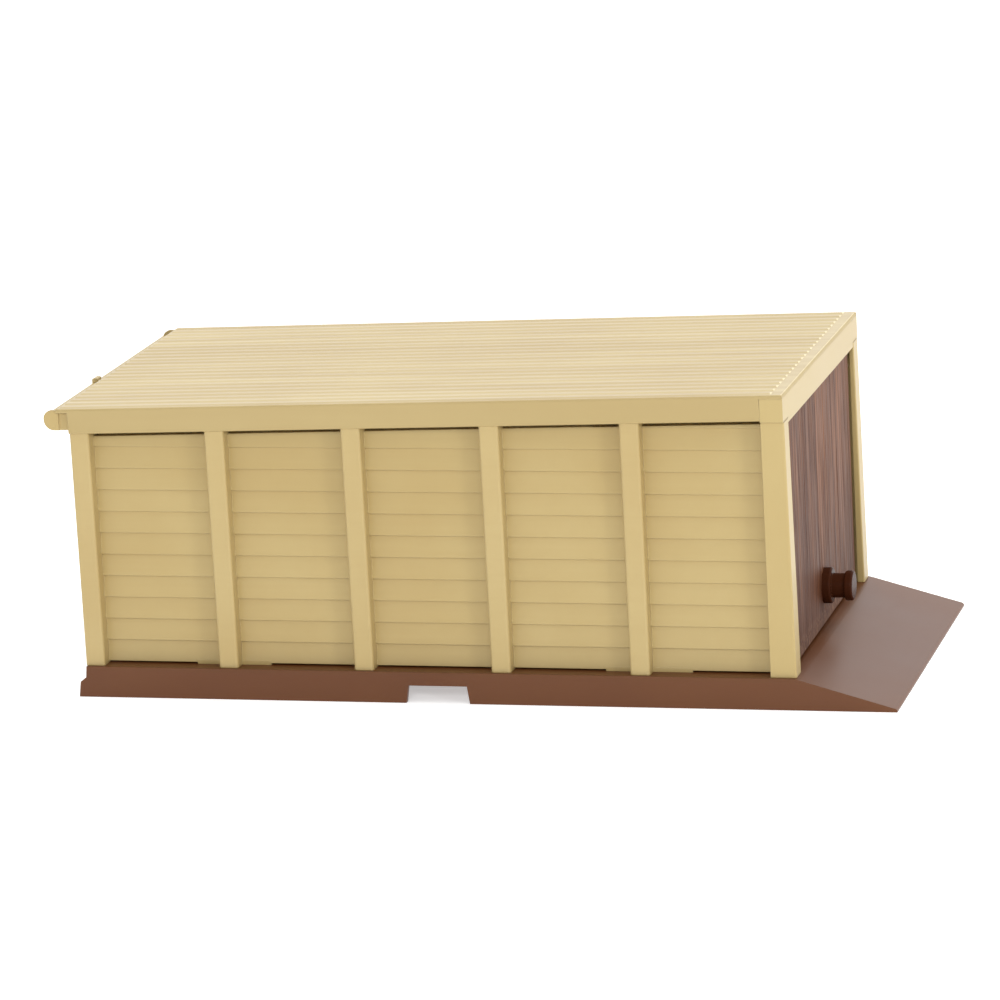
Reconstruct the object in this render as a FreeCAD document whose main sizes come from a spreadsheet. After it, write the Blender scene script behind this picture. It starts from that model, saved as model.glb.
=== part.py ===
import FreeCAD, Part
import math
import os
import re
import Sketcher

# Miniature calf hutch, millimetres. The document's X runs from the rear gutter to the tip of the ramp,
# Y across the hutch and Z up from the ground. Sketches are drawn with X measured from the rear face of
# the wall posts; each body's placement carries that face to its place in the row frame, whose origin
# is the middle of the footprint.

VECTOR = FreeCAD.Vector
os.makedirs("parts", exist_ok=True)
doc = FreeCAD.newDocument("calf_hutch")

# ------------------------------------------------------------------------------------------
# Driving dimensions
# ------------------------------------------------------------------------------------------
DIMENSIONS = [
    ("ramp_tip", "340.7", "rear wall face to the ramp's tip"),
    ("bracket_tip", "10.9", "rear wall face back to the gutter bracket"),
    ("rear_face", "=(bracket_tip - ramp_tip) / 2", "rear wall face in the row frame"),
    ("cut_through", "400", "length of cuts that pass right through"),
    # base and ramp
    ("base_half", "81.6", "half width of the base at its top"),
    ("base_top", "12.9", "floor height"),
    ("base_skin", "2", "thickness of the floor plate and skirts"),
    ("base_under", "=base_top - base_skin", "underside of the floor plate"),
    ("base_draft", "2", "lean of the long skirts, degrees"),
    ("base_foot", "3", "how far the rear foot stands out behind the wall"),
    ("base_step_out", "2.2", "rear foot at the top of its slope"),
    ("base_step_low", "6.3", "height of the rear foot"),
    ("base_step_high", "8.2", "top of the rear step"),
    ("base_step_in", "0.3", "rear skirt above the step"),
    ("base_rear_top", "0.7", "rear skirt at floor level"),
    ("ramp_start", "299.6", "where the floor turns down into the ramp"),
    ("ramp_nose", "1.4", "thickness of the ramp's tip"),
    ("ramp_blend", "15", "rounding where the floor meets the ramp"),
    ("ramp_slope", "=(base_top - ramp_nose) / (ramp_tip - 0.6 - ramp_start)", "fall of the ramp"),
    ("hollow_start", "2.9", "front of the rear skirt"),
    ("hollow_end", "326", "rear of the solid ramp nose"),
    ("hollow_end_top", "=base_under - ramp_slope * (hollow_end - ramp_start)", "hollow height at the nose"),
    ("notch_start", "138.5", "fork notch, rear edge at the ground"),
    ("notch_end", "164", "fork notch, front edge at the ground"),
    ("notch_lean", "0.8", "lean of the notch ends"),
    ("notch_height", "7.3", "height of the fork notch"),
    ("rib_gap", "6.5", "cross rib to the notch"),
    ("rib_thick", "1.6", "cross rib thickness"),
    ("rib_foot", "0.8", "cross rib clearance above the ground"),
    # walls
    ("wall_half", "80", "half distance across the post faces"),
    ("wall_end", "289.3", "front end of the side walls"),
    ("board_lip", "74.2", "half distance across the board lips"),
    ("board_shy", "73.1", "half distance across the tucked upper board edges"),
    ("board_back", "71.2", "half distance between the inner wall faces"),
    ("board_foot", "13.6", "lower edge of the first board"),
    ("board_pitch", "9.13", "height of one board"),
    ("board_count", "13", "boards in a wall before the top is trimmed"),
    ("post_width", "8.3", "width of a wall post"),
    ("post_pitch", "57.9", "spacing of the wall posts"),
    ("post_count", "5", "posts moulded on a side wall"),
    ("post_round", "1.2", "rounding of the post edges"),
    ("post_raw_top", "130", "post height before the top is trimmed"),
    ("tab_one_start", "46.9", "rear locating tab, rear end"),
    ("tab_one_end", "78.6", "rear locating tab, front end"),
    ("tab_two_start", "220.4", "front locating tab, rear end"),
    ("tab_two_end", "256.2", "front locating tab, front end"),
    ("tab_gap", "0.2", "clearance round a tab in its slot"),
    ("rear_lip", "5.8", "rear wall board lips, in from the post faces"),
    ("rear_shy", "6.9", "rear wall tucked board edges"),
    ("rear_back", "8.8", "rear wall inner face"),
    ("rear_half", "71.15", "half width of the rear wall"),
    ("rear_post_at", "25.3", "rear post centre from the middle"),
    ("rear_tab_half", "20", "half length of the rear tab"),
    # roof
    ("roof_angle", "1.34", "fall of the roof toward the gutter, degrees"),
    ("roof_slope", "=tan(roof_angle)", "fall of the roof as a ratio"),
    ("roof_half", "81", "half width of the roof"),
    ("roof_top_rear", "122", "top of the roof sheet above the rear wall face"),
    ("roof_sheet", "1.6", "roof sheet thickness"),
    ("roof_under_rear", "=roof_top_rear - roof_sheet / cos(roof_angle)", "underside at the rear wall"),
    ("roof_seat_rear", "=roof_under_rear - 0.02", "wall tops, just under the sheet"),
    ("roof_back", "5", "roof edge behind the rear wall face"),
    ("roof_front", "298.8", "front edge of the roof"),
    ("roof_round", "1", "rounding of the roof's outer edges"),
    ("fascia_drop", "10.5", "height of the side fascia"),
    ("eaves_gap", "2.6", "side boards stop this far below the fascia"),
    ("board_top_rear", "=roof_top_rear - (fascia_drop + eaves_gap) / cos(roof_angle)", "side board tops"),
    ("fascia_back", "80.05", "inner face of the side fascia"),
    ("fascia_end", "289.3", "front end of the side fascia"),
    ("fascia_round", "0.5", "rounding of the fascia's lower edge"),
    ("rail_out", "71", "outer face of the locating rails"),
    ("rail_in", "69.8", "inner face of the locating rails"),
    ("rail_drop", "15.9", "height of the locating rails"),
    ("rail_start", "9.2", "rear end of the locating rails"),
    ("rail_end", "289", "front end of the locating rails"),
    ("corrugation_pitch", "6.45", "spacing of the roof ribs"),
    ("corrugation_count", "25", "number of roof ribs"),
    ("corrugation_foot", "4.2", "roof rib width at its foot"),
    ("corrugation_crown", "1.6", "roof rib width at its crown"),
    ("corrugation_rise", "0.4", "roof rib height"),
    ("corrugation_slope", "0.7", "length of the slope at the ribs' front ends"),
    ("border_front", "4.75", "plain strip at the front edge"),
    ("border_rear", "1.6", "plain strip at the rear edge"),
    # front frame
    ("front_back", "289.4", "rear face of the portal"),
    ("front_foot", "300", "front face of the portal posts at the floor"),
    ("front_head", "298.9", "front face of the portal posts at the top"),
    ("front_post_in", "70.7", "half distance between the portal posts"),
    ("front_post_top", "117.8", "top of the portal posts"),
    ("front_middle", "294.1", "centre line of the portal"),
    ("rebate_back", "291.6", "rear side of the groove beside the door"),
    ("rebate_front", "297", "front side of the groove beside the door"),
    ("rebate_deep", "1.8", "depth of the groove beside the door"),
    ("front_post_middle", "=(wall_half + front_post_in) / 2", "portal post centre"),
    ("header_low", "115.4", "lower edge of the header between the posts"),
    ("header_lip_half", "70.6", "half width of the header's lower lip"),
    ("header_face", "298.75", "front face of the header"),
    ("peg_radius", "2", "header pegs"),
    ("peg_length", "4", "header peg length"),
    ("peg_hole_radius", "2.3", "peg holes in the posts"),
    ("stop_back", "290.6", "door stop, rear face"),
    ("stop_front", "292.5", "door stop, front face"),
    ("stop_top", "17", "door stop, top"),
    ("stop_half", "70.5", "half length of the door stop"),
    # fixings
    ("screw_shank", "1.2", "screw shank radius"),
    ("screw_head", "2.75", "screw head radius"),
    ("screw_head_thick", "1.8", "screw head thickness"),
    ("screw_slot", "0.7", "driver slot width"),
    ("screw_slot_deep", "0.8", "driver slot depth"),
    ("pilot_radius", "1.5", "pilot holes"),
    ("pass_radius", "1.8", "clearance holes"),
    ("boss_radius", "4.2", "screw bosses under the floor"),
    ("boss_foot", "6.9", "lower face of the floor bosses"),
    ("base_screw_length", "12", "screws into the walls and posts"),
    ("wall_screw_y", "76.3", "screw line in the side walls"),
    ("wall_screw_one", "5.9", "rear wall screw"),
    ("wall_screw_two", "119.95", "middle wall screw"),
    ("wall_screw_three", "177.85", "front wall screw"),
    ("front_screw", "294.6", "portal post screw"),
    ("pilot_deep", "8", "pilot hole depth"),
    ("roof_screw_y", "45", "roof screws from the middle"),
    ("roof_boss_radius", "3", "roof bosses"),
    ("roof_boss_length", "5.5", "roof boss length"),
    ("roof_socket_radius", "3.35", "sockets in the header for the roof bosses"),
    ("roof_socket_floor", "121.6", "floor of the sockets"),
    ("roof_screw_seat", "117.6", "seat of the roof screw heads"),
    ("roof_screw_length", "8", "roof screw length"),
    # gutter
    ("gutter_out", "10.4", "gutter lip behind the rear wall face"),
    ("gutter_low", "113", "underside of the gutter"),
    ("gutter_lip", "118.8", "top of the gutter lip"),
    ("gutter_back_top", "119.4", "top of the gutter's back"),
    ("gutter_skin", "1.2", "gutter wall thickness"),
    ("gutter_round", "4.2", "outer rounding of the gutter"),
    ("gutter_half", "78.3", "half length of the trough"),
    ("cap_thick", "1.5", "end cap thickness"),
    ("cap_proud", "0.2", "end cap margin round the trough"),
    ("cap_top", "121.2", "top of the end caps behind the roof edge"),
    ("cap_under", "120", "top of the end caps below the roof edge"),
    ("cap_step", "5.3", "where the end caps step down, behind the rear wall face"),
    ("cap_disc", "4.2", "front edge of the end caps' raised disc, behind the rear wall face"),
    ("cap_relief", "0.7", "depth of the step beside the disc"),
    ("cap_crown", "3.6", "rounding of the end caps' upper corner"),
    ("bracket_y", "-14.4", "bracket from the middle"),
    ("bracket_width", "5", "bracket width"),
    ("bracket_strap", "0.8", "bracket strap thickness"),
    ("bracket_hook", "1.4", "bracket hook length below the lip"),
    ("bracket_knuckle", "1.9", "height of the bracket's knuckle above the lip"),
    ("bracket_knuckle_end", "8.4", "front of the knuckle, behind the rear wall face"),
    # door
    ("door_face", "296.6", "front of the door"),
    ("door_thick", "4", "door thickness"),
    ("door_half", "68.5", "half width of the door"),
    ("door_low", "13.9", "lower edge of the door"),
    ("door_high", "114.9", "upper edge of the door"),
    ("door_round", "0.6", "rounding of the door edges"),
    ("pivot_x", "=door_face - door_thick / 2", "hinge axis from the rear wall face"),
    ("pivot_z", "107.4", "hinge axis height"),
    ("pin_radius", "1.5", "pivot pin radius"),
    ("pin_bore", "1.55", "bore in the door, running clearance"),
    ("pin_press", "1.46", "bore in the post, press fit"),
    ("pin_in_post", "5", "pin length in the post"),
    ("pin_in_door", "5", "pin length in the door"),
    ("recess_half", "62", "half width of the recess in the door's back"),
    ("recess_low", "20", "lower edge of the recess"),
    ("recess_high", "100", "upper edge of the recess"),
    ("recess_deep", "1.8", "depth of the recess"),
    ("knob_z", "30.2", "knob centre height"),
    ("knob_boss", "6", "boss radius behind the knob"),
    ("knob_foot_radius", "7.5", "knob rear flange"),
    ("knob_foot", "3.8", "knob rear flange thickness"),
    ("knob_neck_radius", "5.1", "knob neck"),
    ("knob_neck_end", "9", "front end of the neck"),
    ("knob_head_radius", "6.2", "knob front flange"),
    ("knob_length", "12.6", "knob length"),
    ("knob_bore", "8.5", "depth of the knob's screw hole"),
    ("knob_round", "0.9", "rounding of the knob flanges"),
    ("knob_screw_reach", "6.5", "knob screw length in the knob"),
]

sheet = doc.addObject("Spreadsheet::Sheet", "Dims")
for row, (alias, content, note) in enumerate(DIMENSIONS, start=1):
    sheet.set("A%d" % row, note)
    sheet.set("B%d" % row, content)
    sheet.setAlias("B%d" % row, alias)
doc.recompute()


def size(alias):
    """Current value of a driving dimension."""
    return float(sheet.get(alias))


def bound(expression):
    """Expression over sheet words, written with the sheet's name for FreeCAD."""
    return re.sub(r"[a-z][a-z_]+", r"Dims.\g<0>", expression)


# ------------------------------------------------------------------------------------------
# Modelling helpers
# ------------------------------------------------------------------------------------------
nodes = []


def new_body(label, x="rear_face", y="0", z="0"):
    """Body for one moulded piece, placed by sheet expressions."""
    body = doc.addObject("PartDesign::Body", label)
    body.Label = label
    for axis, expression in (("x", x), ("y", y), ("z", z)):
        body.setExpression("Placement.Base." + axis, bound(expression))
    nodes.append(body)
    return body


def new_sketch(body, label, role, offset):
    """Empty sketch on one of the body's origin planes, moved along that plane's normal."""
    sketch = body.newObject("Sketcher::SketchObject", label)
    plane = [feature for feature in body.Origin.OriginFeatures if feature.Role == role][0]
    sketch.AttachmentSupport = [(plane, "")]
    sketch.MapMode = "FlatFace"
    sketch.setExpression("AttachmentOffset.Base.z", bound(offset))
    return sketch


def place_point(sketch, geometry, point, start, across, up):
    """Tie one sketch point to the sketch origin by two sheet expressions."""
    for kind, value, expression in (("DistanceX", start.x, across), ("DistanceY", start.y, up)):
        index = sketch.addConstraint(Sketcher.Constraint(kind, -1, 1, geometry, point, value))
        sketch.setExpression("Constraints[%d]" % index, bound(expression))


def outline(body, label, role, loops, offset="0"):
    """Sketch of closed polygons; each corner is a pair of sheet expressions."""
    sketch = new_sketch(body, label, role, offset)
    for corners in loops:
        count = len(corners)
        first = sketch.GeometryCount
        turns = [2 * math.pi * step / count for step in range(count)]
        ring = [VECTOR(50 + 20 * math.cos(turn), 50 + 20 * math.sin(turn), 0) for turn in turns]
        for step in range(count):
            sketch.addGeometry(Part.LineSegment(ring[step], ring[(step + 1) % count]), False)
        for step in range(count):
            following = first + (step + 1) % count
            sketch.addConstraint(Sketcher.Constraint("Coincident", first + step, 2, following, 1))
        for step, (across, up) in enumerate(corners):
            place_point(sketch, first + step, 1, ring[step], across, up)
    return sketch


def circles(body, label, role, centres, radius, offset="0"):
    """Sketch of equal circles; each centre is a pair of sheet expressions."""
    sketch = new_sketch(body, label, role, offset)
    for step, (across, up) in enumerate(centres):
        start = VECTOR(50 + 20 * step, 50, 0)
        index = sketch.addGeometry(Part.Circle(start, VECTOR(0, 0, 1), 2), False)
        place_point(sketch, index, 3, start, across, up)
        ring = sketch.addConstraint(Sketcher.Constraint("Radius", index, 2.0))
        sketch.setExpression("Constraints[%d]" % ring, bound(radius))
    return sketch


def rectangle(left, low, right, high):
    """Corner list of an upright rectangle."""
    return [(left, low), (right, low), (right, high), (left, high)]


def extrude(kind, body, label, sketch, length, both_ways, reverse):
    """Pad or pocket of a sketch."""
    feature = body.newObject(kind, label)
    feature.Profile = sketch
    feature.SideType = "Symmetric" if both_ways else "One side"
    feature.Reversed = reverse
    feature.setExpression("Length", bound(length))
    doc.recompute()
    return feature


def pad(body, label, sketch, length, both_ways=False, reverse=False):
    """Added material; goes along the sketch plane's normal unless reversed."""
    return extrude("PartDesign::Pad", body, label, sketch, length, both_ways, reverse)


def cut(body, label, sketch, length, both_ways=False, reverse=False):
    """Removed material; goes against the sketch plane's normal unless reversed."""
    before = body.Tip.Shape.Volume
    feature = extrude("PartDesign::Pocket", body, label, sketch, length, both_ways, reverse)
    if feature.Shape.Volume > before - 0.01:
        raise ValueError("%s %s removes nothing" % (body.Label, label))
    return feature


def repeat(body, label, feature, sketch, axis, spacing, count):
    """Row of copies of a feature along one axis of its sketch."""
    pattern = body.newObject("PartDesign::LinearPattern", label)
    pattern.Originals = [feature]
    pattern.Direction = (sketch, [axis])
    pattern.setExpression("Occurrences", bound(count))
    pattern.setExpression("Length", bound("%s * (%s - 1)" % (spacing, count)))
    body.Tip = pattern
    doc.recompute()
    return pattern


def soften(body, label, radius, wanted):
    """Fillet on the edges of the body's current shape that the test accepts."""
    tip = body.Tip
    names = ["Edge%d" % number for number, edge in enumerate(tip.Shape.Edges, start=1) if wanted(edge)]
    if not names:
        raise ValueError("%s %s finds no edge" % (body.Label, label))
    fillet = body.newObject("PartDesign::Fillet", label)
    fillet.Base = (tip, names)
    fillet.setExpression("Radius", bound(radius))
    doc.recompute()
    return fillet


def revolve(body, label, sketch):
    """Full turn of a sketch about its horizontal axis."""
    feature = body.newObject("PartDesign::Revolution", label)
    feature.Profile = sketch
    feature.ReferenceAxis = (sketch, ["H_Axis"])
    feature.Angle = 360
    doc.recompute()
    return feature


def runs_along(edge, axis):
    """True for a straight edge parallel to an axis."""
    box = edge.BoundBox
    spans = {"x": box.XLength, "y": box.YLength, "z": box.ZLength}
    return spans.pop(axis) > 1e-3 and max(spans.values()) < 1e-4


def at(value, target):
    """True when two lengths agree."""
    return abs(value - target) < 1e-3


def is_round(edge, radius):
    """True for a circular edge of the given radius."""
    return isinstance(edge.Curve, Part.Circle) and at(edge.Curve.Radius, radius)


def roof_line(x, rear):
    """Height of a line parallel to the roof, rear being its height over the rear wall face."""
    return "%s + (%s) * roof_slope" % (rear, x)


def trim_above(body, label, rear):
    """Cut everything above a line parallel to the roof."""
    above = [
        ("-40", roof_line("-40", rear)),
        ("cut_through", roof_line("cut_through", rear)),
        ("cut_through", "cut_through"),
        ("-40", "cut_through"),
    ]
    above_sketch = outline(body, label + "_outline", "XZ_Plane", [above])
    cut(body, label, above_sketch, "cut_through", both_ways=True)


# ------------------------------------------------------------------------------------------
# Base with the ramp, hollow from below
# ------------------------------------------------------------------------------------------
SCREW_PLACES = [
    (place, "%d * %s" % (side, line))
    for side in (-1, 1)
    for place, line in (
        ("wall_screw_one", "wall_screw_y"),
        ("wall_screw_two", "wall_screw_y"),
        ("wall_screw_three", "wall_screw_y"),
        ("front_screw", "front_post_middle"),
    )
]

base = new_body("base_tray")
base_side = [
    ("-base_foot", "0"),
    ("ramp_tip", "0"),
    ("ramp_tip", "ramp_nose / 2"),
    ("ramp_tip - 0.6", "ramp_nose"),
    ("ramp_start", "base_top"),
    ("base_rear_top", "base_top"),
    ("base_step_in", "base_step_high"),
    ("-base_step_out", "base_step_low"),
]
block = pad(
    base, "block", outline(base, "side_profile", "XZ_Plane", [base_side]), "2 * base_half", both_ways=True
)

flanks = [
    "Face%d" % number
    for number, face in enumerate(block.Shape.Faces, start=1)
    if at(abs(face.CenterOfMass.y), size("base_half"))
]
floor_faces = [
    "Face%d" % number
    for number, face in enumerate(block.Shape.Faces, start=1)
    if at(face.BoundBox.ZMin, size("base_top"))
]
lean = base.newObject("PartDesign::Draft", "skirt_lean")
lean.Base = (block, flanks)
lean.NeutralPlane = (block, floor_faces)
lean.setExpression("Angle", bound("base_draft"))
doc.recompute()
if lean.Shape.BoundBox.YLength < 2 * size("base_half"):
    lean.Reversed = True
    doc.recompute()

soften(
    base,
    "ramp_start_round",
    "ramp_blend",
    lambda edge: runs_along(edge, "y")
    and at(edge.BoundBox.XMin, size("ramp_start"))
    and at(edge.BoundBox.ZMin, size("base_top")),
)

hollow = [
    ("hollow_start", "-1"),
    ("hollow_end", "-1"),
    ("hollow_end", "hollow_end_top"),
    ("ramp_start", "base_under"),
    ("hollow_start", "base_under"),
]
cut(
    base,
    "hollow",
    outline(base, "hollow_profile", "XZ_Plane", [hollow]),
    "2 * (base_half - base_skin)",
    both_ways=True,
)

notch = [
    ("notch_start - notch_lean", "-1"),
    ("notch_end + notch_lean", "-1"),
    ("notch_end - notch_lean / 2", "notch_height"),
    ("notch_start + notch_lean / 2", "notch_height"),
]
notch_sketch = outline(base, "notch_profile", "XZ_Plane", [notch])
cut(base, "fork_notches", notch_sketch, "cut_through", both_ways=True)

ribs = [
    rectangle("notch_start - rib_gap - rib_thick", "rib_foot", "notch_start - rib_gap", "base_under + 0.5"),
    rectangle("notch_end + rib_gap", "rib_foot", "notch_end + rib_gap + rib_thick", "base_under + 0.5"),
]
rib_sketch = outline(base, "rib_profiles", "XZ_Plane", ribs)
pad(base, "cross_ribs", rib_sketch, "2 * base_half - base_skin", both_ways=True)

bosses = circles(base, "boss_circles", "XY_Plane", SCREW_PLACES, "boss_radius", offset="boss_foot")
pad(base, "bosses", bosses, "base_under - boss_foot + 0.5")
holes = circles(base, "boss_holes", "XY_Plane", SCREW_PLACES, "pass_radius", offset="base_top")
cut(base, "screw_holes", holes, "base_top - boss_foot + 0.5")

slots = [
    rectangle(
        "%s_start - tab_gap" % tab,
        "%d * (board_back - tab_gap)" % side,
        "%s_end + tab_gap" % tab,
        "%d * (board_lip + tab_gap)" % side,
    )
    for tab in ("tab_one", "tab_two")
    for side in (-1, 1)
]
rear_slot = rectangle(
    "rear_lip - tab_gap", "-rear_tab_half - tab_gap", "rear_back + tab_gap", "rear_tab_half + tab_gap"
)
slot_sketch = outline(base, "slot_outlines", "XY_Plane", slots + [rear_slot], offset="base_top")
cut(base, "tab_slots", slot_sketch, "base_skin + 0.5")


# ------------------------------------------------------------------------------------------
# Walls
# ------------------------------------------------------------------------------------------
def side_wall(label, side):
    """Long wall: lapped boards behind a row of posts, with two tabs that drop into the floor."""
    wall = new_body(label)
    board = outline(
        wall,
        "board_section",
        "YZ_Plane",
        [[
            ("%d * board_back" % side, "board_foot"),
            ("%d * board_lip" % side, "board_foot"),
            ("%d * board_shy" % side, "board_foot + board_pitch"),
            ("%d * board_back" % side, "board_foot + board_pitch"),
        ]],
    )
    board_pad = pad(wall, "board", board, "wall_end")
    repeat(wall, "boards", board_pad, board, "V_Axis", "board_pitch", "board_count")
    trim_above(wall, "board_tops", "board_top_rear")

    inner = "%d * board_back" % -side
    outward = side > 0
    front = rectangle("0", "base_top", "post_width", "post_raw_top")
    post = outline(wall, "post_front", "XZ_Plane", [front], offset=inner)
    post_pad = pad(wall, "post", post, "wall_half - board_back", reverse=outward)
    repeat(wall, "posts", post_pad, post, "H_Axis", "post_pitch", "post_count")
    soften(
        wall,
        "post_edges",
        "post_round",
        lambda edge: runs_along(edge, "z") and at(abs(edge.BoundBox.YMin), size("wall_half")),
    )

    tabs = [
        rectangle("%s_start" % tab, "base_under", "%s_end" % tab, "board_foot + 1")
        for tab in ("tab_one", "tab_two")
    ]
    tab_sketch = outline(wall, "tab_outlines", "XZ_Plane", tabs, offset=inner)
    pad(wall, "tabs", tab_sketch, "board_lip - board_back", reverse=outward)
    trim_above(wall, "roof_seat", "roof_seat_rear")

    centres = [
        (place, "%d * wall_screw_y" % side)
        for place in ("wall_screw_one", "wall_screw_two", "wall_screw_three")
    ]
    pilots = circles(wall, "pilot_circles", "XY_Plane", centres, "pilot_radius", offset="base_top")
    cut(wall, "pilot_holes", pilots, "pilot_deep", reverse=True)


side_wall("side_wall_left", -1)
side_wall("side_wall_right", 1)

rear = new_body("rear_wall")
rear_board = outline(
    rear,
    "board_section",
    "XZ_Plane",
    [[
        ("rear_back", "board_foot"),
        ("rear_back", "board_foot + board_pitch"),
        ("rear_shy", "board_foot + board_pitch"),
        ("rear_lip", "board_foot"),
    ]],
)
rear_pad = pad(rear, "board", rear_board, "2 * rear_half", both_ways=True)
repeat(rear, "boards", rear_pad, rear_board, "V_Axis", "board_pitch", "board_count")
rear_posts = [
    rectangle(
        "%d * rear_post_at - post_width / 2" % side,
        "base_top",
        "%d * rear_post_at + post_width / 2" % side,
        "post_raw_top",
    )
    for side in (-1, 1)
]
pad(rear, "posts", outline(rear, "post_outlines", "YZ_Plane", rear_posts), "rear_back")
soften(
    rear, "post_edges", "post_round", lambda edge: runs_along(edge, "z") and at(edge.BoundBox.XMin, 0)
)
rear_tab = outline(
    rear,
    "tab_outline",
    "XZ_Plane",
    [rectangle("rear_lip", "base_under", "rear_back", "board_foot + 1")],
)
pad(rear, "tab", rear_tab, "2 * rear_tab_half", both_ways=True)
trim_above(rear, "roof_seat", "roof_seat_rear")


# ------------------------------------------------------------------------------------------
# Portal: two posts, the header over the door and the stop behind the door's foot
# ------------------------------------------------------------------------------------------
def front_post(label, side):
    """Portal post with a leaning front face, a screw pilot, a peg hole and the pivot bore."""
    post = new_body(label)
    centre = "%d * front_post_middle" % side
    inner = "%d * front_post_in" % -side
    profile = outline(
        post,
        "side_profile",
        "XZ_Plane",
        [[
            ("front_back", "base_top"),
            ("front_foot", "base_top"),
            ("front_head", "front_post_top"),
            ("front_back", "front_post_top"),
        ]],
        offset=inner,
    )
    pad(post, "column", profile, "wall_half - front_post_in", reverse=side > 0)
    soften(
        post,
        "edges",
        "post_round / 2",
        lambda edge: edge.BoundBox.ZLength > 50 and edge.BoundBox.XMax > size("front_middle"),
    )
    rebate = rectangle("rebate_back", "base_top - 1", "rebate_front", "front_post_top + 1")
    rebate_sketch = outline(post, "rebate_outline", "XZ_Plane", [rebate], offset=inner)
    cut(post, "door_rebate", rebate_sketch, "rebate_deep", reverse=side < 0)
    pilot = circles(
        post, "pilot_circle", "XY_Plane", [("front_screw", centre)], "pilot_radius", offset="base_top"
    )
    cut(post, "pilot_hole", pilot, "pilot_deep", reverse=True)
    peg = circles(
        post,
        "peg_circle",
        "XY_Plane",
        [("front_middle", centre)],
        "peg_hole_radius",
        offset="front_post_top",
    )
    cut(post, "peg_hole", peg, "peg_length + 0.6")
    bore = circles(
        post, "bore_circle", "XZ_Plane", [("pivot_x", "pivot_z")], "pin_press", offset=inner
    )
    cut(post, "pivot_bore", bore, "pin_in_post", reverse=side < 0)


front_post("front_post_left", -1)
front_post("front_post_right", 1)

header = new_body("front_header")
beam = [
    ("front_back", "front_post_top"),
    ("header_face", "front_post_top"),
    ("header_face", roof_line("header_face", "roof_seat_rear")),
    ("front_back", roof_line("front_back", "roof_seat_rear")),
]
beam_sketch = outline(header, "beam_profile", "XZ_Plane", [beam])
pad(header, "beam", beam_sketch, "2 * roof_half", both_ways=True)
lip = rectangle("front_back", "header_low", "header_face", "front_post_top + 0.5")
lip_sketch = outline(header, "lip_profile", "XZ_Plane", [lip])
pad(header, "lip", lip_sketch, "2 * header_lip_half", both_ways=True)
soften(
    header,
    "lip_edge",
    "fascia_round",
    lambda edge: runs_along(edge, "y") and at(edge.BoundBox.ZMin, size("header_low")),
)
pegs = [("front_middle", "%d * front_post_middle" % side) for side in (-1, 1)]
peg_sketch = circles(
    header, "peg_circles", "XY_Plane", pegs, "peg_radius", offset="front_post_top + 0.5"
)
pad(header, "pegs", peg_sketch, "peg_length + 0.5", reverse=True)
roof_fixings = [("front_middle", "%d * roof_screw_y" % side) for side in (-1, 1)]
sockets = circles(
    header, "socket_circles", "XY_Plane", roof_fixings, "roof_socket_radius", offset="roof_socket_floor"
)
cut(header, "sockets", sockets, "20", reverse=True)
through = circles(
    header, "through_circles", "XY_Plane", roof_fixings, "pass_radius", offset="header_low - 1"
)
cut(header, "through_holes", through, "20", reverse=True)
seats = circles(
    header, "seat_circles", "XY_Plane", roof_fixings, "screw_head + 0.35", offset="header_low - 1"
)
cut(header, "head_seats", seats, "roof_screw_seat - header_low + 1", reverse=True)

stop = new_body("door_stop")
stop_profile = [
    ("stop_back", "base_top"),
    ("stop_front", "base_top"),
    ("stop_front", "stop_top - 0.6"),
    ("stop_front - 0.6", "stop_top"),
    ("stop_back", "stop_top"),
]
stop_sketch = outline(stop, "profile", "XZ_Plane", [stop_profile])
pad(stop, "bar", stop_sketch, "2 * stop_half", both_ways=True)

# ------------------------------------------------------------------------------------------
# Roof, drawn flat and tilted by its placement
# ------------------------------------------------------------------------------------------
roof = new_body("roof_panel", z="roof_top_rear")
roof.Placement.Rotation = FreeCAD.Rotation(VECTOR(0, -1, 0), size("roof_angle"))
roof.setExpression("Placement.Rotation.Angle", bound("roof_angle"))
sheet_side = rectangle("-roof_back", "-roof_sheet", "roof_front", "0")
sheet_sketch = outline(roof, "sheet_profile", "XZ_Plane", [sheet_side])
pad(roof, "sheet", sheet_sketch, "2 * roof_half", both_ways=True)
fascias = [
    rectangle("%d * fascia_back" % side, "-fascia_drop", "%d * roof_half" % side, "-roof_sheet / 2")
    for side in (-1, 1)
]
fascia_sketch = outline(roof, "fascia_sections", "YZ_Plane", fascias)
pad(roof, "fascias", fascia_sketch, "fascia_end")
soften(
    roof,
    "outer_edges",
    "roof_round",
    lambda edge: at(edge.BoundBox.ZMin, 0) and at(edge.BoundBox.ZMax, 0),
)
soften(
    roof,
    "fascia_edges",
    "fascia_round",
    lambda edge: runs_along(edge, "x")
    and at(edge.BoundBox.ZMin, -size("fascia_drop"))
    and at(abs(edge.BoundBox.YMin), size("roof_half")),
)
rails = [
    rectangle("%d * rail_in" % side, "-roof_sheet - rail_drop", "%d * rail_out" % side, "-roof_sheet / 2")
    for side in (-1, 1)
]
rail_sketch = outline(roof, "rail_sections", "YZ_Plane", rails, offset="rail_start")
pad(roof, "rails", rail_sketch, "rail_end - rail_start")
first_rib = "-corrugation_pitch * (corrugation_count - 1) / 2"
rib = [
    (first_rib + " - corrugation_foot / 2", "-roof_sheet / 2"),
    (first_rib + " + corrugation_foot / 2", "-roof_sheet / 2"),
    (first_rib + " + corrugation_foot / 2", "0"),
    (first_rib + " + corrugation_crown / 2", "corrugation_rise"),
    (first_rib + " - corrugation_crown / 2", "corrugation_rise"),
    (first_rib + " - corrugation_foot / 2", "0"),
]
roof_rib = outline(roof, "rib_section", "YZ_Plane", [rib], offset="border_rear - roof_back")
rib_pad = pad(roof, "rib", roof_rib, "roof_front - border_front + roof_back - border_rear")
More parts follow.
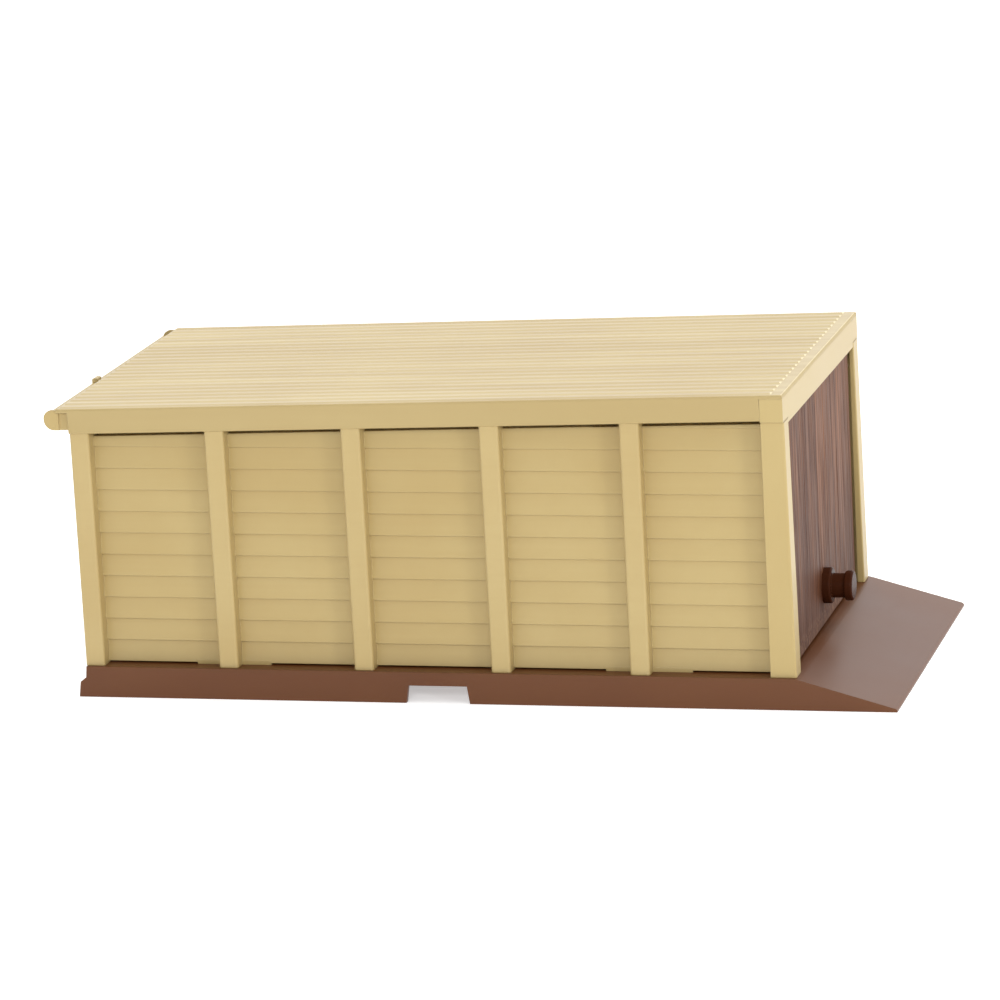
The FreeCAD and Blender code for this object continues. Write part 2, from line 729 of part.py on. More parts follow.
repeat(roof, "ribs", rib_pad, roof_rib, "H_Axis", "corrugation_pitch", "corrugation_count")
rib_end = "roof_front - border_front"
rib_slope = [
    (rib_end + " - corrugation_slope", "corrugation_rise"),
    (rib_end, "0.04"),
    (rib_end + " + 0.3", "0.04"),
    (rib_end + " + 0.3", "corrugation_rise + 0.3"),
    (rib_end + " - corrugation_slope", "corrugation_rise + 0.3"),
]
slope_sketch = outline(roof, "rib_slope_outline", "XZ_Plane", [rib_slope])
cut(roof, "rib_slope", slope_sketch, "cut_through", both_ways=True)
roof_bosses = circles(
    roof, "boss_circles", "XY_Plane", roof_fixings, "roof_boss_radius", offset="-roof_sheet / 2"
)
pad(roof, "bosses", roof_bosses, "roof_boss_length + roof_sheet / 2", reverse=True)
roof_pilots = circles(
    roof, "pilot_circles", "XY_Plane", roof_fixings, "pilot_radius", offset="-roof_sheet - roof_boss_length"
)
cut(roof, "pilot_holes", roof_pilots, "roof_boss_length - 0.6", reverse=True)

# ------------------------------------------------------------------------------------------
# Gutter with its end caps and bracket
# ------------------------------------------------------------------------------------------
gutter = new_body("gutter_trough")
trough = [
    ("-gutter_out", "gutter_low"),
    ("0", "gutter_low"),
    ("0", "gutter_back_top"),
    ("-gutter_skin", "gutter_back_top"),
    ("-gutter_skin", "gutter_low + gutter_skin"),
    ("gutter_skin - gutter_out", "gutter_low + gutter_skin"),
    ("gutter_skin - gutter_out", "gutter_lip"),
    ("-gutter_out", "gutter_lip"),
]
trough_sketch = outline(gutter, "section", "XZ_Plane", [trough])
pad(gutter, "trough", trough_sketch, "2 * gutter_half", both_ways=True)
soften(
    gutter,
    "outer_round",
    "gutter_round",
    lambda edge: runs_along(edge, "y")
    and at(edge.BoundBox.XMin, -size("gutter_out"))
    and at(edge.BoundBox.ZMin, size("gutter_low")),
)
soften(
    gutter,
    "inner_round",
    "gutter_round - gutter_skin",
    lambda edge: runs_along(edge, "y")
    and at(edge.BoundBox.XMin, size("gutter_skin") - size("gutter_out"))
    and at(edge.BoundBox.ZMin, size("gutter_low") + size("gutter_skin")),
)


def end_cap(label, side):
    """D-shaped plate that closes one end of the gutter."""
    cap = new_body(label)
    plate = [
        ("-gutter_out - cap_proud", "gutter_low - cap_proud"),
        ("0", "gutter_low - cap_proud"),
        ("0", "cap_under"),
        ("-cap_step", "cap_under"),
        ("-cap_step", "cap_top"),
        ("-gutter_out - cap_proud", "cap_top"),
    ]
    plate_sketch = outline(cap, "plate_outline", "XZ_Plane", [plate], offset="%d * gutter_half" % -side)
    pad(cap, "plate", plate_sketch, "cap_thick", reverse=side > 0)
    soften(
        cap,
        "round",
        "gutter_round + cap_proud",
        lambda edge: runs_along(edge, "y")
        and at(edge.BoundBox.XMin, -size("gutter_out") - size("cap_proud"))
        and at(edge.BoundBox.ZMin, size("gutter_low") - size("cap_proud")),
    )
    soften(
        cap,
        "crown",
        "cap_crown",
        lambda edge: runs_along(edge, "y")
        and at(edge.BoundBox.XMin, -size("gutter_out") - size("cap_proud"))
        and at(edge.BoundBox.ZMin, size("cap_top")),
    )
    beside = rectangle("-cap_disc", "gutter_low - 1", "1", "cap_top + 1")
    beside_sketch = outline(
        cap, "relief_outline", "XZ_Plane", [beside], offset="%d * (gutter_half + cap_thick)" % -side
    )
    cut(cap, "relief", beside_sketch, "cap_relief", reverse=side > 0)


end_cap("gutter_end_cap_left", -1)
end_cap("gutter_end_cap_right", 1)

bracket = new_body("gutter_bracket", y="bracket_y")
strap = [
    ("-bracket_tip", "gutter_lip - bracket_hook"),
    ("-gutter_out - 0.02", "gutter_lip - bracket_hook"),
    ("-gutter_out - 0.02", "gutter_lip + 0.02"),
    ("-gutter_skin - 0.05", "gutter_lip + 0.02"),
    ("-gutter_skin - 0.05", "gutter_lip + bracket_strap"),
    ("-bracket_knuckle_end", "gutter_lip + bracket_strap"),
    ("-bracket_knuckle_end", "gutter_lip + bracket_knuckle"),
    ("-bracket_tip", "gutter_lip + bracket_knuckle"),
]
strap_sketch = outline(bracket, "strap_profile", "XZ_Plane", [strap])
pad(bracket, "strap", strap_sketch, "bracket_width", both_ways=True)
soften(
    bracket,
    "knuckle_edges",
    "bracket_strap",
    lambda edge: runs_along(edge, "y")
    and at(edge.BoundBox.ZMin, size("gutter_lip") + size("bracket_knuckle")),
)

# ------------------------------------------------------------------------------------------
# Flap door with its knob, and the pins it hangs on
# ------------------------------------------------------------------------------------------
door = new_body("door_leaf")
leaf = rectangle("door_face - door_thick", "door_low", "door_face", "door_high")
leaf_sketch = outline(door, "side_profile", "XZ_Plane", [leaf])
pad(door, "leaf", leaf_sketch, "2 * door_half", both_ways=True)
soften(door, "face_edges", "door_round", lambda edge: at(edge.BoundBox.XMin, size("door_face")))
for side, word in ((-1, "left"), (1, "right")):
    end_bore = circles(
        door,
        "bore_circle_" + word,
        "XZ_Plane",
        [("pivot_x", "pivot_z")],
        "pin_bore",
        offset="%d * door_half" % -side,
    )
    cut(door, "bore_" + word, end_bore, "pin_in_door + 0.6", reverse=side > 0)
recess = outline(
    door,
    "recess_outline",
    "YZ_Plane",
    [rectangle("-recess_half", "recess_low", "recess_half", "recess_high")],
    offset="door_face - door_thick",
)
cut(door, "back_recess", recess, "recess_deep", reverse=True)
boss = circles(
    door, "boss_circle", "YZ_Plane", [("0", "knob_z")], "knob_boss", offset="door_face - door_thick"
)
pad(door, "knob_boss", boss, "recess_deep + 0.3")
hole = circles(
    door, "hole_circle", "YZ_Plane", [("0", "knob_z")], "pass_radius", offset="door_face - door_thick"
)
cut(door, "knob_hole", hole, "door_thick + 1", reverse=True)

knob = new_body("door_knob", x="rear_face + door_face", z="knob_z")
spool = [
    ("0", "pilot_radius"),
    ("0", "knob_foot_radius"),
    ("knob_foot", "knob_foot_radius"),
    ("knob_foot", "knob_neck_radius"),
    ("knob_neck_end", "knob_neck_radius"),
    ("knob_neck_end", "knob_head_radius"),
    ("knob_length", "knob_head_radius"),
    ("knob_length", "0"),
    ("knob_bore", "0"),
    ("knob_bore", "pilot_radius"),
]
revolve(knob, "spool", outline(knob, "spool_profile", "XZ_Plane", [spool]))
soften(
    knob,
    "flange_edges",
    "knob_round",
    lambda edge: is_round(edge, size("knob_head_radius"))
    or (is_round(edge, size("knob_foot_radius")) and at(edge.BoundBox.XMin, size("knob_foot"))),
)


def new_screw(label, seat, places, role, length, x, z):
    """Slotted pan-head screws, heads below the seat plane and shanks above it."""
    screw = new_body(label, x=x, z=z)
    shanks = circles(
        screw, "shank_circles", role, places, "screw_shank", offset="%s - screw_slot_deep" % seat
    )
    pad(screw, "shanks", shanks, "%s + screw_slot_deep" % length)
    heads = circles(
        screw, "head_circles", role, places, "screw_head", offset="%s - screw_head_thick" % seat
    )
    pad(screw, "heads", heads, "screw_head_thick")
    slot_loops = [
        rectangle(
            "%s - screw_head" % across,
            "%s - screw_slot / 2" % up,
            "%s + screw_head" % across,
            "%s + screw_slot / 2" % up,
        )
        for across, up in places
    ]
    slot_outlines = outline(
        screw, "slot_outlines", role, slot_loops, offset="%s - screw_head_thick" % seat
    )
    cut(screw, "slots", slot_outlines, "screw_slot_deep", reverse=True)


new_screw(
    "knob_screw",
    "-door_thick",
    [("0", "0")],
    "YZ_Plane",
    "door_thick + knob_screw_reach",
    "rear_face + door_face",
    "knob_z",
)
new_screw("base_screws", "boss_foot", SCREW_PLACES, "XY_Plane", "base_screw_length", "rear_face", "0")
new_screw("roof_screws", "roof_screw_seat", roof_fixings, "XY_Plane", "roof_screw_length", "rear_face", "0")


def pivot_pin(label, side):
    """Pin pressed into a portal post; its inner end carries the door."""
    pin = new_body(label)
    start = circles(
        pin,
        "pin_circle",
        "XZ_Plane",
        [("pivot_x", "pivot_z")],
        "pin_radius",
        offset="%d * (front_post_in + pin_in_post)" % -side,
    )
    pad(pin, "pin", start, "pin_in_post + front_post_in - door_half + pin_in_door", reverse=side < 0)


pivot_pin("pivot_pin_left", -1)
pivot_pin("pivot_pin_right", 1)

# ------------------------------------------------------------------------------------------
# Check and export
# ------------------------------------------------------------------------------------------
doc.recompute()
for item in doc.Objects:
    if "Invalid" in item.State or "Error" in item.State:
        raise ValueError("%s is in state %s" % (item.Label, item.State))

for node in nodes:
    if node.Shape.isNull() or not node.Shape.isValid():
        raise ValueError("%s has no valid shape" % node.Label)
    node.Shape.exportStep("parts/%s.step" % node.Label)
    box = node.Shape.BoundBox
    spans = (box.XMin, box.XMax, box.YMin, box.YMax, box.ZMin, box.ZMax)
    print("%-22s x %7.2f %7.2f  y %7.2f %7.2f  z %7.2f %7.2f" % ((node.Label,) + spans))
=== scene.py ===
import math
import bpy
from mathutils import Matrix, Vector, noise


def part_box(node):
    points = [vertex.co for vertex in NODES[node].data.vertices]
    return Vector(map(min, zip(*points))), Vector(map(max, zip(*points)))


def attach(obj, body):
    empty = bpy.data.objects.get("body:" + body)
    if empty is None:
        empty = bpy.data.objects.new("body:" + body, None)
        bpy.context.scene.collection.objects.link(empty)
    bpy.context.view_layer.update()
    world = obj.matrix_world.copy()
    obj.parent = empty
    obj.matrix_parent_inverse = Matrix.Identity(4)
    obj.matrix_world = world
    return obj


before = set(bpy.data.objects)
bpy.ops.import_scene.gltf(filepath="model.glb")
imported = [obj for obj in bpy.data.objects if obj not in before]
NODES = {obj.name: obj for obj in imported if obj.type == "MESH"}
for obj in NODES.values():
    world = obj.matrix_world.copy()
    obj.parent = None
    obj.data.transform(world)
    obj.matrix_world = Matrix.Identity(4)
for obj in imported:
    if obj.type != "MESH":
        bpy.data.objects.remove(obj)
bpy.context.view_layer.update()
MM = 0.001

# Plain border of the door leaf around its grain
RELIEF_FOOT = 5.2 * MM
RELIEF_SIDE = 1.6 * MM
RELIEF_HEAD = 0.8 * MM

# Noise scales of the finishes, in features a metre
CLOUDS = 14.0
MOTTLE = 240.0
RUB = 420.0
SCUFFS = (60.0, 60.0, 700.0)
FINE_GRAIN = 1700.0
SINK_WAVES = 40.0

# Rounded edges and where their rubbed colour starts and is full, as the cosine of the turn
EDGE_RADIUS = 0.45 * MM
DOOR_EDGE_RADIUS = 0.4 * MM
EDGE_OPEN = 0.97
EDGE_SHARP = 0.74
# Half-width of the painted shade line at a seam, and of its darkest core
SEAM_REACH = 0.45 * MM
SEAM_CORE = 0.15 * MM


# ------------------------------------------------------------------------------------------
# Shader helpers
# ------------------------------------------------------------------------------------------
class Shader:
    """Small builder around one material's node tree."""

    def __init__(self, name):
        self.material = bpy.data.materials.new(name)
        self.material.use_nodes = True
        self.tree = self.material.node_tree
        self.tree.nodes.clear()
        self.output = self.tree.nodes.new("ShaderNodeOutputMaterial")
        self.surface = self.tree.nodes.new("ShaderNodeBsdfPrincipled")
        self.tree.links.new(self.surface.outputs[0], self.output.inputs["Surface"])
        coordinates = self.tree.nodes.new("ShaderNodeTexCoord")
        self.place = coordinates.outputs["Object"]
        self.facing = coordinates.outputs["Normal"]

    def add(self, kind, inputs=None, **settings):
        """New node; inputs maps a socket name or index to a value or to another socket."""
        node = self.tree.nodes.new(kind)
        for key, value in settings.items():
            setattr(node, key, value)
        for key, value in (inputs or {}).items():
            self.feed(node.inputs[key], value)
        return node

    def feed(self, socket, value):
        if isinstance(value, bpy.types.NodeSocket):
            self.tree.links.new(value, socket)
        else:
            socket.default_value = value

    def math(self, operation, first, second):
        return self.add("ShaderNodeMath", {0: first, 1: second}, operation=operation).outputs[0]

    def noise(self, scale, detail=2.0, rough=0.5):
        """Noise in 0 to 1; scale is features a metre, one number or one for each axis."""
        steps = scale if isinstance(scale, tuple) else (scale, scale, scale)
        placed = self.add("ShaderNodeMapping", {"Vector": self.place})
        placed.inputs["Scale"].default_value = steps
        inputs = {"Vector": placed.outputs[0], "Scale": 1.0, "Detail": detail, "Roughness": rough}
        return self.add("ShaderNodeTexNoise", inputs).outputs[0]

    def span(self, value, low, high, start=0.0, end=1.0):
        """Value mapped from low..high to start..end, clamped."""
        inputs = {"Value": value, "From Min": low, "From Max": high, "To Min": start, "To Max": end}
        return self.add("ShaderNodeMapRange", inputs, clamp=True).outputs[0]

    def blend(self, factor, first, second):
        """Colour mix."""
        node = self.tree.nodes.new("ShaderNodeMix")
        node.data_type = "RGBA"
        colours = [socket for socket in node.inputs if socket.type == "RGBA"]
        self.feed(node.inputs[0], factor)
        self.feed(colours[0], first)
        self.feed(colours[1], second)
        return [socket for socket in node.outputs if socket.type == "RGBA"][0]

    def bump(self, height, distance, strength=1.0, normal=None):
        inputs = {"Height": height, "Distance": distance, "Strength": strength}
        if normal is not None:
            inputs["Normal"] = normal
        return self.add("ShaderNodeBump", inputs).outputs[0]

    def rounded(self, radius):
        """Normal as if every sharp edge had a small radius."""
        return self.add("ShaderNodeBevel", {"Radius": radius}, samples=6).outputs[0]

    def edge(self, soft, low, high):
        """Mask that is 1 along sharp edges and 0 on open surfaces."""
        flat = self.add("ShaderNodeNewGeometry").outputs["Normal"]
        agree = self.add("ShaderNodeVectorMath", {0: soft, 1: flat}, operation="DOT_PRODUCT")
        return self.span(agree.outputs["Value"], high, low)

    def upward(self):
        """Mask that is 1 on faces that look up and 0 on upright ones."""
        split = self.add("ShaderNodeSeparateXYZ", {0: self.facing})
        return self.span(split.outputs["Z"], 0.55, 0.9)

    def forward_slope(self):
        """Mask that is 1 on faces that look up and lean forward, such as the ends of the roof's ribs."""
        split = self.add("ShaderNodeSeparateXYZ", {0: self.facing})
        lean = self.span(split.outputs["X"], 0.34, 0.40)
        steep = self.span(split.outputs["X"], 0.54, 0.48)
        return self.math("MULTIPLY", lean, steep)


def linear(red, green, blue):
    """Display colour, 0 to 255, as a linear RGBA."""
    channel = [part / 255 for part in (red, green, blue)]
    flat = [part / 12.92 if part <= 0.04045 else ((part + 0.055) / 1.055) ** 2.4 for part in channel]
    return (flat[0], flat[1], flat[2], 1.0)


def moulded_plastic(name, base, dark, light, wear_and_highlight, roughness, grain=1.0, flow=None, flow_mix=0.2,
                    upright=None, seam=None, ior=1.5, specular=0.5):
    """Injection-moulded plastic: cloudy tone, fine grain and rubbed edges.

    flow adds streaks, upright is painted shade on vertical faces, the faces that lean forward get a
    painted highlight in the lighter edge colour, and seam is the height of a thin painted shade line.
    """
    shader = Shader(name)
    clouds = shader.noise(CLOUDS, detail=3.0)
    mottle = shader.noise(MOTTLE, detail=2.0, rough=0.6)
    colour = shader.blend(shader.span(clouds, 0.35, 0.65), dark, light)
    colour = shader.blend(0.55, colour, base)
    colour = shader.blend(shader.span(mottle, 0.45, 0.8, 0.0, 0.12), colour, dark)
    if flow is not None:
        streaks = shader.noise(flow, detail=3.0, rough=0.6)
        colour = shader.blend(shader.span(streaks, 0.50, 0.68, 0.0, flow_mix), colour, light)
        colour = shader.blend(shader.span(streaks, 0.50, 0.32, 0.0, flow_mix), colour, dark)
    gloss = shader.span(clouds, 0.3, 0.7, roughness - 0.03, roughness + 0.04)
    if upright is not None:
        upward = shader.upward()
        # painted shade: vertical faces, the roof's fascias, are pulled towards the darker upright colour
        colour = shader.blend(upward, shader.blend(0.75, colour, upright), colour)
        # painted highlight: faces that lean forward, the ends of the roof's ribs, take the lighter edge
        # colour
        colour = shader.blend(shader.forward_slope(), colour, wear_and_highlight)
        gloss = shader.math("ADD", gloss, shader.span(upward, 0.0, 1.0, 0.16, 0.0))
    rub = shader.noise(RUB, detail=3.0, rough=0.7)
    soft = shader.rounded(EDGE_RADIUS)
    patchy = shader.span(rub, 0.3, 0.62, 0.25, 1.0)
    wear = shader.math("MULTIPLY", shader.edge(soft, EDGE_SHARP, EDGE_OPEN), patchy)
    colour = shader.blend(shader.math("MULTIPLY", wear, 0.35), colour, wear_and_highlight)
    # painted shade: a thin dark line at the seam height, standing in for the shadow in the joint between
    # post and header
    if seam is not None:
        height = shader.add("ShaderNodeSeparateXYZ", {0: shader.place}).outputs["Z"]
        away = shader.math("ABSOLUTE", shader.math("SUBTRACT", height, seam), 0.0)
        colour = shader.blend(shader.span(away, SEAM_REACH, SEAM_CORE, 0.0, 0.6), colour, SEAM_SHADE)
    shader.feed(shader.surface.inputs["Base Color"], colour)

    gloss = shader.math("ADD", gloss, shader.math("MULTIPLY", wear, 0.08))
    scuffs = shader.noise(SCUFFS, detail=2.0, rough=0.6)
    gloss = shader.math("ADD", gloss, shader.span(scuffs, 0.5, 0.75, 0.0, 0.008))
    shader.feed(shader.surface.inputs["Roughness"], gloss)
    shader.surface.inputs["IOR"].default_value = ior
    shader.surface.inputs["Specular IOR Level"].default_value = specular

    fine = shader.noise(FINE_GRAIN, detail=1.0)
    waves = shader.noise(SINK_WAVES, detail=1.0)
    normal = shader.bump(waves, 0.10 * MM, 0.2, soft)
    normal = shader.bump(fine, 0.006 * MM * grain, 0.5, normal)
    shader.feed(shader.surface.inputs["Normal"], normal)
    return shader.material


def wood_moulded_door(name, base, dark, light, roughness):
    """Brown plastic with a moulded vertical wood grain."""
    shader = Shader(name)
    broad = shader.noise((40.0, 95.0, 4.0), detail=3.0, rough=0.6)
    streak = shader.noise((100.0, 330.0, 9.0), detail=4.0, rough=0.75)
    hair = shader.noise((900.0, 1700.0, 40.0), detail=3.0, rough=0.7)
    colour = shader.blend(shader.span(streak, 0.38, 0.62), dark, light)
    colour = shader.blend(0.2, colour, base)
    colour = shader.blend(shader.span(broad, 0.42, 0.62, 0.0, 0.55), colour, dark)
    colour = shader.blend(shader.span(hair, 0.52, 0.72, 0.0, 0.6), colour, light)
    colour = shader.blend(shader.span(hair, 0.48, 0.30, 0.0, 0.6), colour, dark)
    height = shader.add("ShaderNodeSeparateXYZ", {0: shader.place}).outputs["Z"]
    # painted reflection: darker towards the foot of the door, standing in for the dark ramp reflected in
    # it
    colour = shader.blend(shader.span(height, 75 * MM, 15 * MM, 0.0, 0.45), colour, dark)
    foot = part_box("door_leaf")[0].z + RELIEF_FOOT
    # lighter speckles in a band just above the foot of the grain
    low_band = shader.span(height, foot + 3.5 * MM, foot + 0.5 * MM)
    flecks = shader.span(shader.noise((1500.0, 1900.0, 420.0), detail=2.0, rough=0.7), 0.50, 0.62)
    foot_speckle = shader.math("MULTIPLY", shader.math("MULTIPLY", flecks, low_band), 0.28)
    colour = shader.blend(foot_speckle, colour, DOOR_FLECK)
    soft = shader.rounded(DOOR_EDGE_RADIUS)
    wear = shader.math("MULTIPLY", shader.edge(soft, EDGE_SHARP, EDGE_OPEN), 0.3)
    colour = shader.blend(wear, colour, light)
    shader.feed(shader.surface.inputs["Base Color"], colour)
    gloss = shader.span(streak, 0.3, 0.7, roughness + 0.07, roughness - 0.05)
    shader.feed(shader.surface.inputs["Roughness"], gloss)
    shader.surface.inputs["IOR"].default_value = 1.28
    normal = shader.bump(streak, 0.12 * MM, 0.5, soft)
    normal = shader.bump(hair, 0.05 * MM, 0.6, normal)
    shader.feed(shader.surface.inputs["Normal"], normal)
    return shader.material


def brushed_steel(name):
    """Zinc-plated screw steel with turning marks."""
    shader = Shader(name)
    marks = shader.noise((2600.0, 2600.0, 500.0), detail=3.0, rough=0.7)
    dull = shader.noise(500.0, detail=2.0)
    colour = shader.blend(shader.span(marks, 0.35, 0.65), linear(150, 150, 152), linear(205, 204, 200))
    colour = shader.blend(shader.span(dull, 0.5, 0.75, 0.0, 0.35), colour, linear(120, 116, 108))
    shader.feed(shader.surface.inputs["Base Color"], colour)
    shader.surface.inputs["Metallic"].default_value = 1.0
    shader.feed(shader.surface.inputs["Roughness"], shader.span(marks, 0.3, 0.7, 0.28, 0.45))
    shader.feed(shader.surface.inputs["Normal"], shader.bump(marks, 0.01 * MM, 0.6))
    return shader.material


# ------------------------------------------------------------------------------------------
# Finishes
# ------------------------------------------------------------------------------------------
CREAM = linear(178, 156, 105)
# Colour of the painted shade line in the seam between the front posts and the header
SEAM_SHADE = linear(96, 72, 32)
DOOR_FLECK = linear(190, 152, 124)
TRIM = {
    "base": CREAM,
    "dark": linear(174, 151, 99),
    "light": linear(183, 163, 113),
    "wear_and_highlight": linear(203, 187, 144),
    "roughness": 0.34,
    "ior": 1.36,
}
cream_wall = moulded_plastic(
    "cream_wall", base=CREAM, dark=linear(172, 148, 96), light=linear(184, 164, 114),
    wear_and_highlight=linear(203, 187, 144), roughness=0.30, flow=(10.0, 90.0, 420.0), flow_mix=0.09, specular=0.4,
)
cream_trim = moulded_plastic("cream_trim", **TRIM)
# painted shade line at the top of the front posts, where the header meets them
cream_post = moulded_plastic("cream_post", seam=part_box("front_post_left")[1].z, **TRIM)
# On the roof, upright is painted shade on the fascias, and the lighter edge colour is also a painted
# highlight on the rib ends
cream_roof = moulded_plastic(
    "cream_roof", base=CREAM, dark=linear(170, 146, 93), light=linear(194, 175, 126),
    wear_and_highlight=linear(222, 205, 160), roughness=0.34, flow=(4.0, 170.0, 60.0), flow_mix=0.6,
    upright=linear(165, 143, 90), ior=1.6,
)
brown_base = moulded_plastic(
    "brown_base", base=linear(96, 55, 25), dark=linear(89, 49, 21), light=linear(102, 61, 30),
    wear_and_highlight=linear(132, 96, 72), roughness=0.38, ior=1.40,
)
brown_door = wood_moulded_door(
    "brown_door", base=linear(95, 54, 31), dark=linear(58, 27, 12), light=linear(136, 91, 62),
    roughness=0.52,
)
knob_gloss = moulded_plastic(
    "knob_gloss", base=linear(56, 27, 14), dark=linear(48, 21, 10), light=linear(64, 33, 19),
    wear_and_highlight=linear(112, 74, 54), roughness=0.24, grain=0.4, ior=1.12, specular=0.25,
)
steel = brushed_steel("screw_steel_finish")

FINISHES = {
    "base_tray": brown_base,
    "door_stop": brown_base,
    "side_wall_left": cream_wall,
    "side_wall_right": cream_wall,
    "rear_wall": cream_wall,
    "front_post_left": cream_post,
    "front_post_right": cream_post,
    "front_header": cream_trim,
    "roof_panel": cream_roof,
    "gutter_trough": cream_trim,
    "gutter_end_cap_left": cream_trim,
    "gutter_end_cap_right": cream_trim,
    "gutter_bracket": cream_trim,
    "pivot_pin_left": cream_trim,
    "pivot_pin_right": cream_trim,
    "door_leaf": brown_door,
    "door_knob": knob_gloss,
    "knob_screw": steel,
    "base_screws": steel,
    "roof_screws": steel,
}
for name, finish in FINISHES.items():
    for slot in NODES[name].material_slots:
        slot.material = finish


# ------------------------------------------------------------------------------------------
# Door relief: reeded wood grain standing up to a third of a millimetre proud inside a plain border
# ------------------------------------------------------------------------------------------
def solid_from(name, vertices, faces, finish):
    """Mesh object from vertex and face lists."""
    mesh = bpy.data.meshes.new(name)
    mesh.from_pydata(vertices, [], faces)
    mesh.validate()
    mesh.materials.append(finish)
    piece = bpy.data.objects.new(name, mesh)
    bpy.context.scene.collection.objects.link(piece)
    return piece


def grain_height(across, up):
    """Height of the moulded grain, 0 to 1, over the door's width and height in metres."""
    drift = 0.8 * MM * noise.noise(Vector((across * 30, up * 11, 4.2)))
    reed = noise.noise(Vector(((across + drift) * 620, up * 16, 1.7)))
    fine = noise.noise(Vector(((across + drift) * 1500, up * 34, 9.1)))
    broad = noise.noise(Vector((across * 110, up * 6, 6.6)))
    level = 0.5 + 0.75 * reed + 0.45 * fine + 0.3 * broad
    return min(max(level, 0.0), 1.0)


def door_relief():
    """Closed sheet of grain over the face of the door leaf, sunk a little into it."""
    low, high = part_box("door_leaf")
    face = high.x
    half = high.y - RELIEF_SIDE
    foot = low.z + RELIEF_FOOT
    head = high.z - RELIEF_HEAD
    columns = 430
    rows = 70
    sunk = 0.10 * MM
    least = 0.05 * MM
    most = 0.34 * MM
    vertices = []
    faces = []
    for row in range(rows + 1):
        up = foot + (head - foot) * row / rows
        for column in range(columns + 1):
            across = -half + 2 * half * column / columns
            proud = least + (most - least) * grain_height(across, up)
            vertices.append((face + proud, across, up))
    wide = columns + 1
    for row in range(rows):
        for column in range(columns):
            first = row * wide + column
            faces.append((first, first + 1, first + wide + 1, first + wide))
    rim = (
        list(range(columns))
        + [row * wide + columns for row in range(rows)]
        + [rows * wide + column for column in range(columns, 0, -1)]
        + [row * wide for row in range(rows, 0, -1)]
    )
    start = len(vertices)
    for index in rim:
        vertices.append((face - sunk, vertices[index][1], vertices[index][2]))
    count = len(rim)
    for step in range(count):
        following = (step + 1) % count
        faces.append((rim[step], start + step, start + following, rim[following]))
    faces.append(tuple(start + step for step in range(count - 1, -1, -1)))
    return solid_from("door_grain", vertices, faces, brown_door)


grain = door_relief()
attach(grain, "door")

# ------------------------------------------------------------------------------------------
# Floor, lights, camera
# ------------------------------------------------------------------------------------------
TARGET = Vector((-5.13, 0.0, 65.23)) * MM
AZIMUTH = math.radians(15.09)
ELEVATION = math.radians(13.53)
ROLL = math.radians(-3.09)
DISTANCE = 2119.6 * MM
LENS = 182.1
SKY_FRONT = 0.25
SKY_BACK = 1.4
SKY_TOP = 0.75
FLOOR_GLOW = 0.45


def aim(azimuth, elevation, roll=0.0):
    """Rotation of something that looks back along its own direction, and that direction."""
    back = Vector((
        math.sin(azimuth) * math.cos(elevation),
        -math.cos(azimuth) * math.cos(elevation),
        math.sin(elevation),
    ))
    right = Vector((0, 0, 1)).cross(back).normalized()
    up = back.cross(right)
    across = math.cos(roll) * right + math.sin(roll) * up
    above = -math.sin(roll) * right + math.cos(roll) * up
    return Matrix((across, above, back)).transposed(), back


def soft_light(name, azimuth, elevation, distance, width, height, power):
    """Rectangular softbox aimed at the object."""
    light = bpy.data.lights.new(name, "AREA")
    light.shape = "RECTANGLE"
    light.size = width
    light.size_y = height
    light.energy = power
    turn, back = aim(math.radians(azimuth), math.radians(elevation))
    lamp = bpy.data.objects.new(name, light)
    lamp.matrix_world = Matrix.Translation(TARGET + back * distance) @ turn.to_4x4()
    bpy.context.scene.collection.objects.link(lamp)


world = bpy.data.worlds.new("studio")
world.use_nodes = True
world_tree = world.node_tree
background = world_tree.nodes["Background"]
background.inputs["Color"].default_value = (1.0, 1.0, 1.0, 1.0)
direction = world_tree.nodes.new("ShaderNodeTexCoord")
parts = world_tree.nodes.new("ShaderNodeSeparateXYZ")
world_tree.links.new(direction.outputs["Generated"], parts.inputs[0])


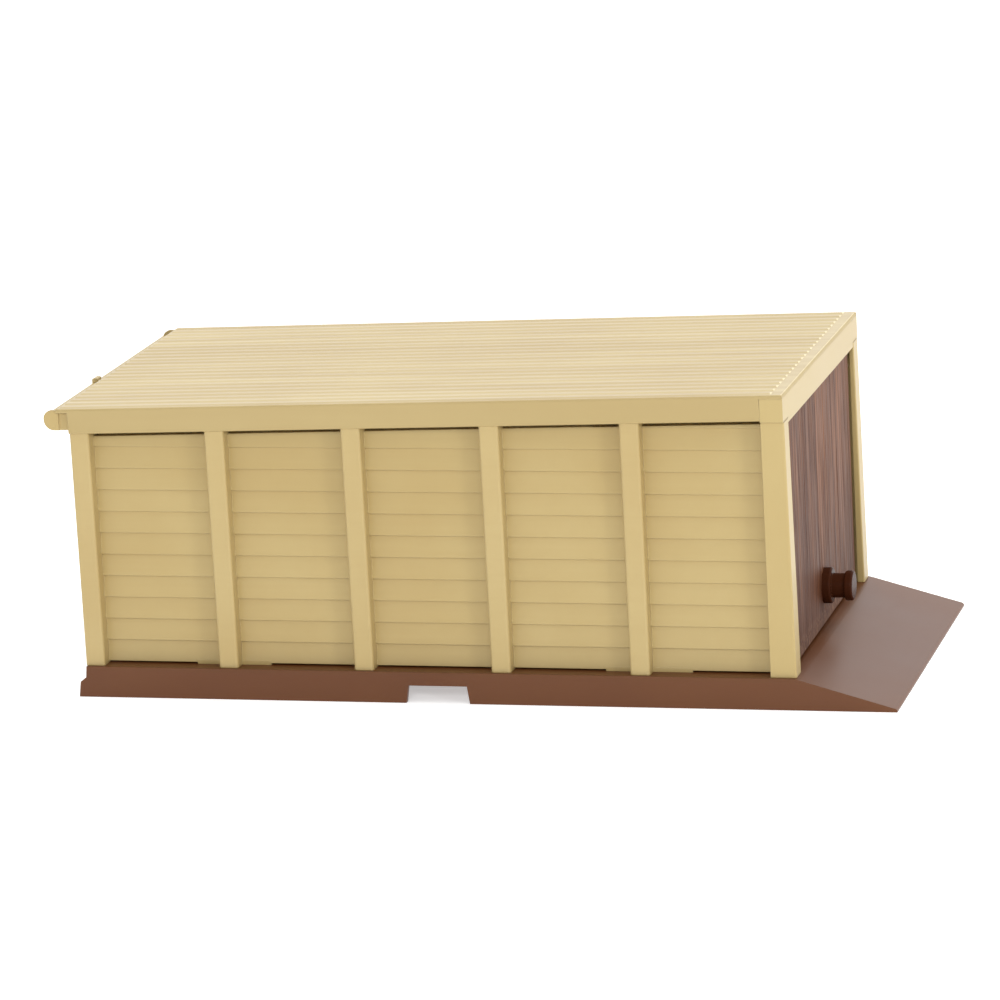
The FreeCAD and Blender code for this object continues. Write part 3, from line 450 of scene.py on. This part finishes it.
def sky_ramp(axis, low, high, start, end):
    """World brightness that changes along one axis of the sky's direction."""
    ramp = world_tree.nodes.new("ShaderNodeMapRange")
    world_tree.links.new(parts.outputs[axis], ramp.inputs["Value"])
    for key, value in (("From Min", low), ("From Max", high), ("To Min", start), ("To Max", end)):
        ramp.inputs[key].default_value = value
    return ramp.outputs[0]


total = world_tree.nodes.new("ShaderNodeMath")
total.operation = "ADD"
world_tree.links.new(sky_ramp("Y", -0.5, 0.45, SKY_FRONT, SKY_BACK), total.inputs[0])
world_tree.links.new(sky_ramp("Z", 0.35, 0.95, 0.0, SKY_TOP), total.inputs[1])
world_tree.links.new(total.outputs[0], background.inputs["Strength"])
bpy.context.scene.world = world
soft_light("key", azimuth=8.0, elevation=25.0, distance=3.0, width=0.9, height=0.6, power=27.0)
soft_light("side", azimuth=57.0, elevation=12.0, distance=3.0, width=0.5, height=0.5, power=19.0)

floor_finish = Shader("floor_paper")
tone = floor_finish.noise(6.0, detail=2.0)
paper = floor_finish.blend(tone, (0.86, 0.86, 0.86, 1.0), (0.88, 0.88, 0.88, 1.0))
floor_finish.feed(floor_finish.surface.inputs["Base Color"], paper)
floor_finish.surface.inputs["Roughness"].default_value = 0.9
floor_finish.surface.inputs["Specular IOR Level"].default_value = 0.1
floor_finish.surface.inputs["Emission Color"].default_value = (1.0, 1.0, 1.0, 1.0)
floor_finish.surface.inputs["Emission Strength"].default_value = FLOOR_GLOW
REACH = 6.0
ground = solid_from(
    "floor",
    [(-REACH, -REACH, 0), (REACH, -REACH, 0), (REACH, REACH, 0), (-REACH, REACH, 0)],
    [(0, 1, 2, 3)],
    floor_finish.material,
)

camera_data = bpy.data.cameras.new("camera")
camera_data.lens = LENS
camera_data.sensor_width = 36.0
camera_data.clip_end = 50.0
camera = bpy.data.objects.new("camera", camera_data)
turn, back = aim(AZIMUTH, ELEVATION, ROLL)
camera.matrix_world = Matrix.Translation(TARGET + back * DISTANCE) @ turn.to_4x4()
bpy.context.scene.collection.objects.link(camera)
bpy.context.scene.camera = camera
bpy.context.scene.view_settings.view_transform = "Standard"
bpy.context.scene.view_settings.look = "None"
